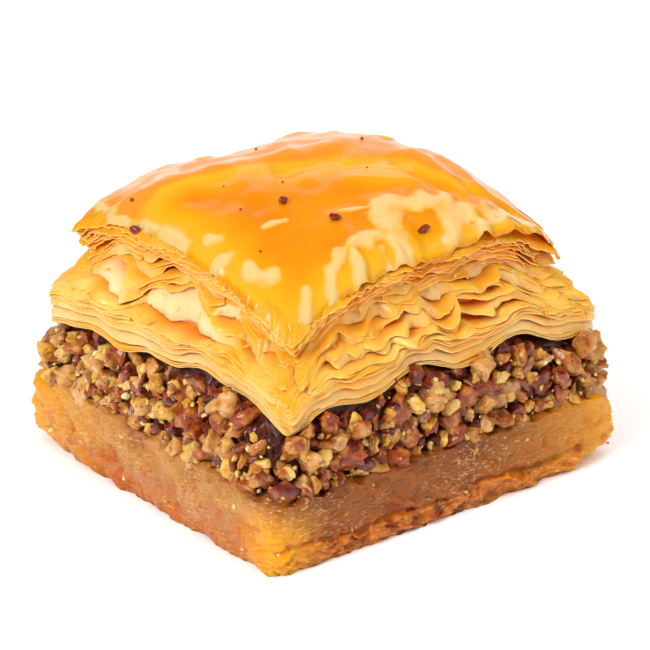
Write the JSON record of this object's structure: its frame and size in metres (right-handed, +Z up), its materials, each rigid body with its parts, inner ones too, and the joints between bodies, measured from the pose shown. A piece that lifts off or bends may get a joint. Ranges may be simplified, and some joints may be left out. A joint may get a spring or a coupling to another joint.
{
  "type": "baklava piece",
  "caption": "Square-cut piece of layered nut pastry: soaked base slab, chopped nut filling and a puffed, domed top of thin baked leaves that droops at its corners.",
  "frame": {"origin": "middle of the base's footprint, on the surface it stands on", "axes": "+Z up, +X along the slightly longer cut side; the top hangs lowest at the -X, -Y corner"},
  "size_m": [0.049, 0.046, 0.034],
  "materials": {
    "soaked_pastry": "syrup-soaked pastry, moist and slightly translucent",
    "chopped_nuts": "coarsely chopped walnuts bound with syrup",
    "baked_leaves": "golden baked leaves with a syrup glaze on top"
  },
  "bodies": {
    "root": {"base_pastry": "soaked_pastry", "nut_filling": "chopped_nuts", "top_pastry": "baked_leaves"}
  },
  "joints": []
}
